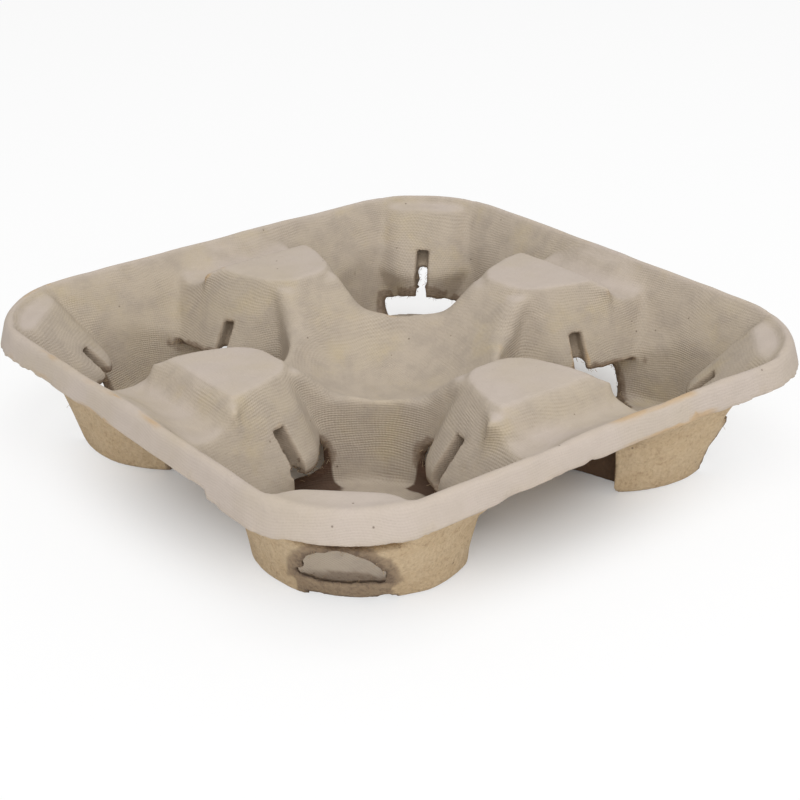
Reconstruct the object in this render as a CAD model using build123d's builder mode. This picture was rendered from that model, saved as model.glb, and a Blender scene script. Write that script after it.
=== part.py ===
from build123d import *
from math import sqrt, sin, cos, radians
import os

# Moulded-pulp drink carrier for four cups, in millimetres, standing on its four cup bases.
# The origin is at the middle of the tray on the surface that it stands on, and +Z is up.
# One sheet of pulp makes the whole piece. Its upper face bounds an open space above it, and its
# lower face bounds the same space grown by the wall, so both faces come from the same sizes.

# Sheet of pulp
wall = 2.2
# Rim: a bead round the edge, with a skirt turned down outside it
overall_size = 216.0
overall_height = 45.0
rim_corner_radius = 41.0
skirt_flare = 2.4
skirt_drop = 8.8
bead_width = 2.0
bead_lean = 0.5
rim_round = 1.2
bead_round = 0.6
# Ledge inside the bead, and the side walls that fall from it into the wells
ledge_drop = 4.0
side_wall_inset = 5.2
side_wall_lean = 0.62
# Cup wells, round in plan, placed by what is left to the rim and to the middle of the tray
rim_to_well = 20.1
well_to_middle = 18.5
well_lean = 0.25
base_bevel = 2.0
funnel_foot_inset = 0.6
funnel_lean = 1.2
# Panels that grip a cup, three to a well: one at the corner and one on each post beside it
panel_shift = 2.5
panel_angle = 116.6
panel_overhang = 13.85
corner_panel_lean = 1.04
corner_panel_half = 8.5
corner_panel_spread = 0.26
corner_panel_flare = 52.0
post_panel_lean = 0.66
post_panel_half = 9.5
post_panel_spread = 0.2
post_inner_flare = 57.0
panel_inner_round = 1.3
# Window under each panel, and the slot that runs up from it
window_top = 22.0
window_sill = 4.2
window_width = 33.0
slot_rise = 8.5
slot_width = 4.8
# Post tops, and the channel between a post and the rim
post_inset = 27.8
post_outer_lean = 0.76
channel_drop = 8.5
channel_outer_inset = 14.0
channel_outer_lean = 1.3
# Basin in the middle
post_depth = 28.3
basin_floor = 16.0
basin_floor_share = 0.4
basin_bevel = 4.0

quarter = 90.0
diagonal = 45.0
upright_slope = 0.3
corner_fronts = slice(0, 2)
post_fronts = slice(1, 5)
crest_half = overall_size / 2 - skirt_flare
ledge_height = overall_height - ledge_drop
above = overall_height + ledge_drop
well_floor_radius = (crest_half - rim_to_well - well_to_middle) / 2
well_centre = well_to_middle + well_floor_radius
well_spacing = 2 * well_centre
panel_centre = well_centre + panel_shift
panel_reach = well_floor_radius + well_lean * (window_top - wall) - panel_overhang
slot_top = window_top + slot_rise
post_outer = crest_half - post_inset
basin_top_radius = post_outer - post_depth
basin_lean = basin_top_radius * (1 - basin_floor_share) / (overall_height - basin_floor)
channel_half_length = well_centre - panel_overhang


def face_shift(grow, lean):
    # Level shift of a leaning face that moves it by grow square to itself.
    return grow * sqrt(1 + lean * lean)


def panel_front(height, grow, lean, half, spread, flare):
    # Reach and half width of a panel's flat front at a height.
    turn = radians(flare)
    front_shift = face_shift(grow, lean)
    flank_shift = face_shift(grow, cos(turn) * spread - sin(turn) * lean)
    rise = height - window_top
    widening = (sin(turn) * front_shift - flank_shift) / cos(turn)
    return panel_reach + lean * rise + front_shift, half + spread * rise + widening


def panel_point(angle, reach, side):
    # Plan position of a point on a panel of the well between +X and +Y.
    turn = radians(angle)
    x = panel_centre + reach * cos(turn) - side * sin(turn)
    y = panel_centre + reach * sin(turn) + side * cos(turn)
    return x, y


def corner_outline(height, grow):
    # The panel at the tray's corner, with a flank flaring back on each side of it.
    reach, half = panel_front(height, grow, corner_panel_lean, corner_panel_half,
                              corner_panel_spread, corner_panel_flare)
    back = reach + panel_centre * cos(radians(corner_panel_flare))
    wide = half + panel_centre * sin(radians(corner_panel_flare))
    corners = [(reach, -half), (back, -wide), (back, wide), (reach, half)]
    return [panel_point(diagonal, *corner) for corner in corners]


def post_outline(height, grow):
    # The post on +X: a straight shoulder to the rim, a panel, and a flank that flares inwards.
    angle = diagonal - panel_angle
    reach, outer_half = panel_front(height, grow, post_panel_lean, post_panel_half,
                                    post_panel_spread, -angle)
    reach, inner_half = panel_front(height, grow, post_panel_lean, post_panel_half,
                                    post_panel_spread, post_inner_flare)
    shoulder = panel_point(angle, reach, outer_half)
    inner = panel_point(angle, reach, -inner_half)
    heading = radians(angle - post_inner_flare)
    tip = inner[0] - inner[1] * cos(heading) / sin(heading)
    far = overall_size / 2
    half_outline = [(far, shoulder[1]), shoulder, inner]
    mirrored = [(x, -y) for x, y in reversed(half_outline)]
    return half_outline + [(tip, 0.0)] + mirrored


def panel_core(outline, fronts, grow):
    # The room behind the panels, which the wells leave out, with its front edges rounded.
    with BuildPart() as core:
        for height in (window_top, above):
            with BuildSketch(Plane.XY.offset(height)):
                with BuildLine():
                    Polyline(*outline(height, grow), close=True)
                make_face()
        loft(ruled=True)
        uprights = core.edges().filter_by(lambda edge: abs(edge.tangent_at(0.5).Z) > upright_slope)
        uprights = uprights.sort_by_distance((0, 0, window_top))
        fillet(uprights[fronts], radius=panel_inner_round + wall - grow)
    return core.part


def upper_space(grow):
    # The space above the sheet, grown into the sheet by a distance.
    floor = wall - grow
    ledge = ledge_height - grow
    funnel_foot = window_top - grow
    bottom = overall_height - channel_drop - grow

    def well_radius(height):
        return well_floor_radius + well_lean * (height - wall) + face_shift(grow, well_lean)

    def funnel_radius(height):
        lean = funnel_lean * (height - window_top)
        return (well_floor_radius + well_lean * (window_top - wall) - funnel_foot_inset + lean
                + face_shift(grow, funnel_lean))

    def side_wall(height):
        lean = side_wall_lean * (height - ledge_height)
        return crest_half - side_wall_inset + lean + face_shift(grow, side_wall_lean)

    def pan_half(height):
        lean = bead_lean * (height - overall_height)
        return crest_half - bead_width + lean + face_shift(grow, bead_lean)

    def post_face(height):
        lean = post_outer_lean * (overall_height - height)
        return post_outer + lean - face_shift(grow, post_outer_lean)

    def channel_slope(height):
        lean = channel_outer_lean * (height - overall_height + channel_drop)
        return crest_half - channel_outer_inset + lean + face_shift(grow, channel_outer_lean)

    def bowl(height):
        lean = basin_lean * (height - overall_height)
        return basin_top_radius + lean + face_shift(grow, basin_lean)

    corner_core = panel_core(corner_outline, corner_fronts, grow)
    post_core = panel_core(post_outline, post_fronts, grow)

    with BuildPart() as well:
        with BuildSketch(Plane.XZ):
            with BuildLine():
                Polyline((0, floor), (well_radius(floor), floor), (well_radius(above), above),
                         (0, above), close=True)
            make_face()
        revolve(axis=Axis.Z)
        chamfer(well.edges().filter_by(GeomType.CIRCLE).group_by(Axis.Z)[0], length=base_bevel)

    with BuildPart() as side_walls:
        for height in (funnel_foot, ledge):
            out = side_wall(height)
            with BuildSketch(Plane.XY.offset(height)):
                RectangleRounded(2 * out, 2 * out, rim_corner_radius - crest_half + out)
                with Locations((well_centre, well_centre)):
                    Rectangle(2 * out, 4 * out, rotation=diagonal, align=(Align.MIN, Align.CENTER),
                              mode=Mode.INTERSECT)
        loft(ruled=True)
        with BuildSketch(Plane.XZ.offset(-well_centre)):
            with BuildLine():
                Polyline((well_centre, funnel_foot),
                         (well_centre + funnel_radius(funnel_foot), funnel_foot),
                         (well_centre + funnel_radius(ledge), ledge),
                         (well_centre, ledge), close=True)
            make_face()
        revolve(axis=Axis((well_centre, well_centre, 0), (0, 0, 1)), mode=Mode.INTERSECT)

    with BuildPart() as channel:
        with BuildSketch(Plane.XZ):
            with BuildLine():
                Polyline((post_face(bottom), bottom), (channel_slope(bottom), bottom),
                         (channel_slope(ledge), ledge), (pan_half(ledge), ledge),
                         (pan_half(above), above), (post_face(above), above), close=True)
            make_face()
        extrude(amount=channel_half_length, both=True)

    with BuildPart() as basin:
        with BuildSketch(Plane.XZ):
            with BuildLine():
                Polyline((0, basin_floor - grow), (bowl(basin_floor - grow), basin_floor - grow),
                         (bowl(above), above), (0, above), close=True)
            make_face()
        revolve(axis=Axis.Z)
        chamfer(basin.edges().filter_by(GeomType.CIRCLE).group_by(Axis.Z)[0], length=basin_bevel)

    with BuildPart() as space:
        with PolarLocations(well_centre * sqrt(2), 4, start_angle=diagonal):
            add(well.part)
        with PolarLocations(0, 4):
            add(side_walls.part)
            add(corner_core, mode=Mode.SUBTRACT)
        for height in (ledge, above):
            with BuildSketch(Plane.XY.offset(height)):
                half = pan_half(height)
                RectangleRounded(2 * half, 2 * half, rim_corner_radius - crest_half + half)
        loft(ruled=True)
        with PolarLocations(0, 4):
            add(post_core, mode=Mode.SUBTRACT)
            add(channel.part)
        add(basin.part)
    return space.part


def panel_planes(reach):
    # Upright planes square to the middle line of every panel, at a reach from its well's middle.
    planes = []
    for side in (-panel_angle, 0.0, panel_angle):
        start = Vector(*panel_point(diagonal + side, reach, 0.0), 0)
        along = Vector(1, 0, 0).rotate(Axis.Z, diagonal + side)
        across = Vector(0, 1, 0).rotate(Axis.Z, diagonal + side)
        for turn in (0.0, quarter, 2 * quarter, 3 * quarter):
            planes.append(Plane(origin=start.rotate(Axis.Z, turn),
                                x_dir=across.rotate(Axis.Z, turn),
                                z_dir=along.rotate(Axis.Z, turn)))
    return planes


space_below = upper_space(wall)
space_above = upper_space(0.0)
skirt_foot = overall_height - skirt_drop
skirt_half = overall_size / 2

with BuildPart() as tray:
    # Lid with its skirt
    with BuildSketch(Plane.XY.offset(skirt_foot)):
        RectangleRounded(2 * skirt_half, 2 * skirt_half, rim_corner_radius + skirt_flare)
    with BuildSketch(Plane.XY.offset(overall_height)):
        RectangleRounded(2 * crest_half, 2 * crest_half, rim_corner_radius)
    loft(ruled=True)
    lean = skirt_flare / skirt_drop
    inset = face_shift(wall, lean)
    for height in (skirt_foot, overall_height - wall):
        half = skirt_half - lean * (height - skirt_foot) - inset
        with BuildSketch(Plane.XY.offset(height)):
            RectangleRounded(2 * half, 2 * half, rim_corner_radius - crest_half + half)
    loft(ruled=True, mode=Mode.SUBTRACT)
    rim_edges = tray.edges().group_by(Axis.Z)[-1]
    fillet(rim_edges, radius=rim_round)
    # Pockets that hang from it
    add(space_below)
    add(space_above, mode=Mode.SUBTRACT)
    with BuildSketch(Plane.XY.offset(overall_height)):
        Rectangle(2 * overall_size, 2 * overall_size)
    extrude(amount=overall_height, mode=Mode.SUBTRACT)
    # Soft inner edge of the bead
    crest = tray.faces().filter_by(Plane.XY).group_by(Axis.Z)[-1].sort_by(SortBy.AREA)[-1]
    fillet(crest.inner_wires().edges(), radius=bead_round)
    # Window under each panel
    window_start = panel_reach - slot_width
    window_end = well_floor_radius + well_lean * window_top + 2 * wall
    with BuildSketch(*panel_planes(window_start)):
        with Locations((0, window_sill)):
            Rectangle(window_width, window_top - window_sill, align=(Align.CENTER, Align.MIN))
    extrude(amount=window_end - window_start, mode=Mode.SUBTRACT)
    # Slot up the middle of each panel
    with BuildSketch(*panel_planes(window_start)):
        with Locations((0, window_sill)):
            Rectangle(slot_width, slot_top - slot_width / 2 - window_sill,
                      align=(Align.CENTER, Align.MIN))
        with Locations((0, slot_top - slot_width / 2)):
            Circle(slot_width / 2)
    extrude(amount=well_floor_radius - window_start, mode=Mode.SUBTRACT)

tray.part.label = "tray"
os.makedirs("parts", exist_ok=True)
export_step(tray.part, "parts/tray.step")
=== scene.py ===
from collections import namedtuple
from functools import reduce
from math import cos, pi, radians, sin, sqrt
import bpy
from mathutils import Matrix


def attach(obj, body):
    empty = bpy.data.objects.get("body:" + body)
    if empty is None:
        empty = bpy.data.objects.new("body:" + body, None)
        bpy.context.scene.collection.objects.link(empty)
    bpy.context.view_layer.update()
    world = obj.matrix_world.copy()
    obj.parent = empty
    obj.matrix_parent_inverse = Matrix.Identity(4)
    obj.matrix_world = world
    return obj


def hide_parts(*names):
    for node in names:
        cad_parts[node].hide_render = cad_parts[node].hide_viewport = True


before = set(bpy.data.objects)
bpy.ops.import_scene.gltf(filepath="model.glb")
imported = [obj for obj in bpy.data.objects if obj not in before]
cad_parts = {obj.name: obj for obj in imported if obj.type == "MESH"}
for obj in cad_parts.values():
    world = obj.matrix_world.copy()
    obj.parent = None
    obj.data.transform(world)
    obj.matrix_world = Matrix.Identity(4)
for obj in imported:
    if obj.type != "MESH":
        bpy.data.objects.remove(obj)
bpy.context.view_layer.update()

from types import SimpleNamespace

import bpy
import numpy as np
from mathutils import Matrix, Vector

bl_info = {
    "name": "Pulp Cup Carrier",
    "version": (1, 0, 0),
    "blender": (4, 5, 0),
    "location": "3D View > Sidebar > Cup Carrier",
    "description": "Builds a moulded-pulp carrier for four cups round its solid model",
    "category": "Object",
}

MM = 0.001
NODE = "tray"


# Sizes and colours a user would change

def length(name, text, default_mm):
    return bpy.props.FloatProperty(name=name, description=text, default=default_mm * MM,
                                   min=0.0, unit="LENGTH", subtype="DISTANCE", precision=5)


def colour(name, text, default):
    return bpy.props.FloatVectorProperty(name=name, description=text, default=default, size=3,
                                         min=0.0, max=1.0, subtype="COLOR")


class CarrierShape(bpy.types.PropertyGroup):
    wall: length("Wall", "Thickness of the pulp sheet", 2.2)
    height: length("Height", "Height of the bead and of the post tops", 44.6)
    crest_half: length("Crest half size", "Middle of the tray to the outside of the bead", 105.3)
    rim_radius: length("Rim radius", "Corner radius of the bead", 39.0)
    skirt_flare: length("Skirt flare", "How far the skirt leans out from the bead to its edge", 2.3)
    skirt_drop: length("Skirt drop", "Depth of the skirt below the bead along a side", 8.6)
    skirt_corner: length("Skirt corner", "How much deeper the skirt is at a corner", 1.4)
    corner_droop: length("Corner droop", "How far the rim has sunk at the corners", 0.6)
    bead_width: length("Bead width", "Width of the bead on top", 2.3)
    ledge: length("Ledge height", "Height of the ledge inside the bead", 42.5)
    side_top: length("Side wall top", "Middle of the tray to the top of a side wall", 100.4)
    well_centre: length("Well centre", "Middle of the tray to a well's middle, along X and Y", 52.0)
    well_radius: length("Well radius", "Radius of a well's floor", 34.0)
    foot_blend: length("Foot rounding", "Rounding of the foot of a well", 2.5)
    panel_centre: length("Panel centre", "Middle of the tray to the middle of a well's panels", 54.5)
    panel_reach: length("Panel reach", "Middle of the panels to the foot of each", 23.2)
    panel_foot: length("Panel foot", "Height at which a panel turns down into its torn lip", 20.5)
    lip: length("Lip height", "Height of the torn lip under a panel", 16.8)
    window_top: length("Window top", "Height of the top of a window in the wall", 19.5)
    slot_top: length("Slot top", "Height of the top of a slot", 30.5)
    slot_width: length("Slot width", "Width of a slot", 4.4)
    slot_depth: length("Slot depth", "Depth of the groove behind a slot", 5.5)
    post_outer: length("Post outer edge", "Middle of the tray to the outer edge of a post's top", 77.8)
    channel: length("Channel height", "Height of the channel between a post and the rim", 36.2)
    saddle: length("Saddle height", "Height of the ridge between the bowl and a well", 31.2)
    basin_floor: length("Bowl floor", "Height of the floor of the bowl in the middle", 16.0)
    basin_top: length("Bowl radius", "Radius of the bowl at the height of the post tops", 49.5)
    wave: length("Waviness", "How far the sheet wanders from its true shape", 0.3)
    cell: length("Mesh cell", "Size of the cells that the sheet is meshed with", 1.0)
    fibre_length: length("Fibre length", "Length of the longest loose fibres", 1.7)
    fibre_radius: length("Fibre radius", "Radius of the loose fibres", 0.07)
    fibre_density: bpy.props.FloatProperty(name="Fibre density", description="Loose fibres per square metre",
                                           default=400000.0, min=0.0)
    faces: bpy.props.IntProperty(name="Triangles", description="Triangles left in the finished sheet",
                                 default=190000, min=1000)


class CarrierFinish(bpy.types.PropertyGroup):
    face: colour("Upper face", "Screen-marked upper face", (0.455, 0.387, 0.312))
    face_pale: colour("Upper face, pale", "Paler, smoother pulp on the rim", (0.50, 0.43, 0.375))
    felt: colour("Underside", "Rough felted underside", (0.56, 0.43, 0.275))
    felt_dark: colour("Underside, dark", "Darker fibres of the underside", (0.36, 0.25, 0.155))
    cut: colour("Torn edge", "Torn fibres at the windows and slots", (0.16, 0.12, 0.09))
    screen_pitch: length("Screen pitch", "Pitch of the mould screen's marks", 0.8)
    backdrop: colour("Backdrop", "Floor and background", (0.9, 0.9, 0.9))


# Distances, all in millimetres: negative inside an open space, positive in the pulp

# Stands for a space that isn't there
FAR = 99.0


def soft_min(a, b, blend):
    gap = np.maximum(blend - np.abs(a - b), 0.0) / blend
    return np.minimum(a, b) - gap * gap * blend * 0.25


def soft_max(a, b, blend):
    return -soft_min(-a, -b, blend)


def overlap(*spaces):
    """The space that all the spaces share, with sharp edges."""
    return reduce(np.maximum, spaces)


def union(*spaces):
    return reduce(np.minimum, spaces)


def strip(value, middle, half):
    """Distance outside a strip, given its middle and half its width."""
    return np.abs(value - middle) - half


def fade(value, start, width):
    """0 up to the start, rising evenly to 1 over the width."""
    return np.clip((value - start) / width, 0, 1)


def box_corner(du, dw, radius):
    return (np.hypot(np.maximum(du, 0.0), np.maximum(dw, 0.0))
            + np.minimum(np.maximum(du, dw), 0.0) - radius)


def per_lean(lean):
    """Turns a level distance to a leaning surface into the distance square to it."""
    return 1.0 / np.sqrt(1.0 + lean * lean)


class LatticeNoise:
    """Smooth noise between -1 and 1 from a seeded lattice, for arrays of places."""

    SEED = 11
    # Moves every place to the positive side of the lattice
    SHIFT = 400.0

    def __init__(self, size=24):
        self.size = size
        draw = np.random.default_rng(self.SEED)
        self.values = draw.uniform(-1, 1, (size, size, size)).astype(np.float32)

    def __call__(self, x, y, z, scale):
        axes = []
        for place in (x, y, z):
            place = place / scale + self.SHIFT
            base = np.floor(place).astype(np.int32)
            part = (place - base).astype(np.float32)
            part = part * part * (3 - 2 * part)
            axes.append(((base % self.size, 1 - part), ((base + 1) % self.size, part)))
        total = 0.0
        for xi, wx in axes[0]:
            for yi, wy in axes[1]:
                for zi, wz in axes[2]:
                    total = total + self.values[xi, yi, zi] * wx * wy * wz
        return total


# Kinds of grip panel: towards the tray's corner, on the post along X and on the post along Y
CORNER_PANEL, X_PANEL, Y_PANEL = 0, 1, 2

# A panel's kind, the distances along and across it, the distance to its front and the one to
# its front and flanks, both negative behind them, and the height of its torn lip
Panel = namedtuple("Panel", "kind along across front behind lip")


class Sheet:
    """The moulded sheet as a distance field, folded into the quarter between +X and +Y, apart from
    what is torn or worn in one well only. The near well is at -X -Y, the right one at +X -Y and
    the back one at +X +Y."""

    # Leans: how far a surface moves sideways for each millimetre of height
    SIDE_LEAN = 0.62
    WELL_LEAN = 0.12
    WELL_RIM_LEAN = 0.08
    WELL_CORNER_LEAN = 0.17
    THROAT_LEAN = 0.2
    FUNNEL_LEAN = 1.2
    BEAD_LEAN = 0.7
    POST_OUTER_LEAN = 0.76
    SHOULDER_LEAN = 0.59
    CHANNEL_LEAN = 1.3
    SADDLE_LEAN = 0.9
    BASIN_LEAN = 1.02
    # Panels: the turn of a post's panel, and each form's lean, half width, spread and flare
    PANEL_ANGLE = 116.6
    CORNER_FORM = {"lean": 1.04, "half": 8.1, "spread": 0.26, "flare": 52.0}
    POST_FORM = {"lean": 0.66, "half": 9.2, "spread": 0.2, "flare": 57.0}
    # Other sizes of the tray
    SIDE_TOP_HEIGHT = 41.0
    THROAT_STEP = 0.6
    # How far a funnel reaches below the feet of its panels
    FUNNEL_SINK = 3.0
    LEDGE_DROOP = 3.0
    SHOULDER_HALF = 33.6
    CHANNEL_OUTER = 91.6
    CHANNEL_WIDENING = 6.0
    CHANNEL_HALF = 44.0
    SADDLE_HALF_WIDTH = 15.0
    SADDLE_REACH = 36.0
    SADDLE_HALF_LENGTH = 12.0
    # The skirt's trimmed edge is cut this far in from its face
    TRIM_DEPTH = 5.0
    # Nothing lies further out than this along X or Y
    REACH = 107.7
    # Brings the droop, which grows towards the corners, to about 1 at the bead's corner
    DROOP_GAIN = 1.6
    # Windows: their ends across each kind of panel, their rounding as a share of the greatest,
    # their sill, how far inside and outside a well's wall they are cut, and how far from the
    # middle of the panels they start
    WINDOW_ENDS = ((-15.0, 15.0), (-14.0, 10.0), (-14.0, 10.0))
    WINDOW_ROUNDING = 0.9
    SILL = -6.0
    WINDOW_IN = 1.2
    WINDOW_OUT = 6.0
    WINDOW_START = 20.0
    # Slots: how far the top lies below slot_top for each kind of panel, how far a slot is off
    # the middle of a post's panel, and half of how far it reaches out of a panel's front
    SLOT_DROPS = (2.6, 1.0, 1.0)
    SLOT_SHIFT = -2.2
    SLOT_LEAD = 1.5
    # The open underside of a panel: how many walls behind the face it starts, and how far it
    # reaches above the lip's wall and below the lip
    UNDER_WALLS = 1.25
    UNDER_ABOVE = 0.5
    UNDER_BELOW = 3.0
    # The strip torn along a lip: half its height, how far behind the face its middle lies, and
    # half its width
    EDGE_HALF = 0.9
    EDGE_MIDDLE = 1.2
    EDGE_REACH = 3.2
    # Undersides and torn strips stay this far inside a well's wall
    TORN_INSET = 1.2
    NEAR_TORN_INSET = 3.0
    # Widths of the brown bands above a lip and round a window, and the reach of the brown at
    # the near foot: the torn pulp's brown together with painted shade
    LIP_BAND = 3.0
    BACK_LIP_BAND = 6.0
    WINDOW_BAND = 2.0
    BACK_WINDOW_BAND = 3.5
    FOOT_BAND_HALF = 14.0
    FOOT_BAND_TOP = 7.5
    # Painted shade: pulp coloured as dark as deep shade, how far from the middle of the panels it starts,
    # and its tops
    HOLLOW_START = 18.0
    NEAR_HOLLOW_TOP = 15.0
    RIGHT_HOLLOW_TOP = 19.0
    # The foot of a well below its corner window, where the pulp is torn away to the floor
    FOOT_HALF = 13.0
    FOOT_HEIGHT = 2.0
    # Where the skirt is deeper along the -X side: its X, the start and end in Y, and how much
    STEP_SIDE = -80.0
    STEP_START = -50.0
    STEP_END = -88.0
    STEP_DEPTH = 1.9
    # The near well, where some of the pulp is left standing and the cup is pressed in a little
    NEAR_WINDOW_ENDS = ((-15.0, 11.0), (-24.0, 3.5), (-26.0, 2.5))
    NEAR_SLOT_DROPS = (2.6, -1.0, -1.0)
    NEAR_LIPS = (19.9, 15.6, 13.5)
    NEAR_NOTCH = 20.0
    NEAR_NOTCH_START = -2.2
    NEAR_UNTORN = (FAR, 3.5, 2.5)
    NEAR_ARCH_HALF = 12.8
    NEAR_ARCH_SCALE = 6.0
    NEAR_WINDOW_TOP = 20.6
    NEAR_SILLS = (8.4, 7.0, 7.0)
    NEAR_LEAN = 0.84
    NEAR_LEDGE_DROOP = -0.8
    NEAR_PRESSED_IN = 1.9
    NEAR_PRESSED_TOWARD = (0.78, -0.62)
    # The right well, with wider tears, and a panel that is whole up to a distance across it
    RIGHT_TEARS = (3.0, 6.5, 7.0)
    RIGHT_TEAR_IN = 7.0
    RIGHT_UNTORN = 15.5
    # The back well's corner panel, which is longer and slit through, with the slit's middle
    # behind the panel's front and its reach from there
    BACK_LIP = 10.2
    BACK_SAG = 3.2
    BACK_SAG_REACH = 12.0
    BACK_SLIT_HALF = 1.8
    BACK_SLIT_TOP = 20.2
    BACK_SLIT_MIDDLE = 4.0
    BACK_SLIT_REACH = 8.0
    # The lip of a panel that isn't torn lies below the tray
    NO_LIP = -20.0

    def __init__(self, shape):
        for name in CarrierShape.__annotations__:
            value = getattr(shape, name)
            setattr(self, name, value if name in ("faces", "fibre_density") else value / MM)
        self.straight = self.crest_half - self.rim_radius
        self.rough = LatticeNoise()

    def place(self, x, y, z):
        """What many surfaces ask of a place: where it folds to, which well it is in, and how the
        well's side, the side wall, the pan's wall and the ledge lie there."""
        p = SimpleNamespace(x=x, y=y, z=z, u=np.abs(x), w=np.abs(y))
        p.near = (x < 0) & (y < 0)
        p.right = (x > 0) & (y < 0)
        p.back = (x > 0) & (y > 0)
        p.droop = (p.u * p.w / self.crest_half ** 2) ** 2
        p.top = self.height - self.corner_droop * self.DROOP_GAIN * p.droop
        p.rise = z - self.panel_foot
        p.radius = np.hypot(p.u - self.well_centre, p.w - self.well_centre)
        p.side = self.well_side(p)
        p.out = self.side_top + self.SIDE_LEAN * (z - self.SIDE_TOP_HEIGHT)
        pan_wall = self.in_plan(p.u, p.w, self.crest_half - self.bead_width - self.straight)
        p.pan_wall = (pan_wall + self.BEAD_LEAN * (p.top - z)) * per_lean(self.BEAD_LEAN)
        p.ledge = self.ledge - np.where(p.near, self.NEAR_LEDGE_DROOP, self.LEDGE_DROOP) * p.droop
        return p

    def in_plan(self, u, w, radius):
        """Distance outside a square with the bead's straight sides and the corner radius given."""
        return box_corner(u - self.straight, w - self.straight, radius)

    def well_side(self, p):
        """Distance outside the wall of a well, which leans out more towards the tray's corner."""
        span = np.maximum(p.radius, 1.0)
        toward = (p.u + p.w - 2 * self.well_centre) / (sqrt(2) * span)
        lean = (self.WELL_LEAN + self.WELL_RIM_LEAN * fade(toward, start=0.0, width=0.7)
                + self.WELL_CORNER_LEAN * fade(toward, start=0.72, width=0.25))
        part_x, part_y = self.NEAR_PRESSED_TOWARD
        pressed = (part_x * (p.x + self.well_centre) + part_y * (p.y + self.well_centre)) / span
        pressed = np.where(p.near, fade(pressed, start=0.55, width=0.4) * self.NEAR_PRESSED_IN, 0.0)
        side = p.radius + pressed - self.well_radius - lean * (p.z - self.wall)
        return side * per_lean(self.WELL_LEAN)

    def wells(self, p):
        """The wells and the funnels above them."""
        space = soft_max(p.side, self.wall - p.z, blend=self.foot_blend)
        walls = soft_max((p.u - p.out) * per_lean(self.SIDE_LEAN),
                         (p.w - p.out) * per_lean(self.SIDE_LEAN), blend=6.0)
        throat = self.well_radius + self.THROAT_LEAN * (self.panel_foot - self.wall) - self.THROAT_STEP
        cone = (p.radius - throat - self.FUNNEL_LEAN * p.rise) * per_lean(self.FUNNEL_LEAN)
        funnel = soft_max(walls, cone, blend=3.0)
        funnel = soft_max(funnel, (2 * self.well_centre - p.u - p.w) / sqrt(2), blend=2.0)
        funnel = overlap(funnel, -p.rise - self.FUNNEL_SINK)
        return soft_min(space, funnel, blend=1.2)

    def panel_axes(self, u, w, turned):
        """Distances along and across a panel from the middle of the panels."""
        turn = radians(45.0 + turned)
        du = u - self.panel_centre
        dw = w - self.panel_centre
        return du * cos(turn) + dw * sin(turn), dw * cos(turn) - du * sin(turn)

    def panel_front(self, along, rise, form):
        """How far out a panel's front stands at a height, and the distance to it."""
        reach = self.panel_reach + form["lean"] * soft_max(rise, 0.0, blend=2.0)
        return reach, (reach - along) * per_lean(form["lean"])

    def panel_flank(self, along, across, reach, rise, form):
        """Distance to the slanting flank beside a panel's front."""
        turn = radians(form["flare"])
        lean = cos(turn) * form["spread"] - sin(turn) * form["lean"]
        wide = form["half"] + form["spread"] * rise
        return (cos(turn) * (across - wide) - sin(turn) * (along - reach)) * per_lean(lean)

    def corner_panel(self, p):
        """A well's panel towards the tray's corner, and the pulp that it takes from the well."""
        along, across = self.panel_axes(p.u, p.w, 0.0)
        form = dict(self.CORNER_FORM, lean=np.where(p.near, self.NEAR_LEAN, self.CORNER_FORM["lean"]))
        reach, front = self.panel_front(along, p.rise, form)
        flank = self.panel_flank(along, np.abs(across), reach, p.rise, form)
        sag = self.BACK_SAG * np.minimum(across / self.BACK_SAG_REACH, 1.0) ** 2
        lip = np.where(p.near, self.NEAR_LIPS[CORNER_PANEL],
                       np.where(p.back, self.BACK_LIP - sag, self.lip))
        core = soft_max(soft_max(front, flank, blend=2.0), lip - p.z, blend=1.0)
        return Panel(CORNER_PANEL, along, across, front, overlap(front, flank), lip), core

    def post_lip(self, p, across, kind):
        """Height of the torn lip of a post's panel, which isn't torn all along in two wells."""
        near_lip = self.NEAR_LIPS[kind]
        if kind == X_PANEL:
            near_lip = np.where(across > self.NEAR_NOTCH_START, self.NEAR_NOTCH, near_lip)
        near_lip = np.where(across > self.NEAR_UNTORN[kind], self.NO_LIP, near_lip)
        untorn = p.right & (kind == Y_PANEL) & (across < self.RIGHT_UNTORN)
        return np.where(p.near, near_lip, np.where(untorn, self.NO_LIP, self.lip))

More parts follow.
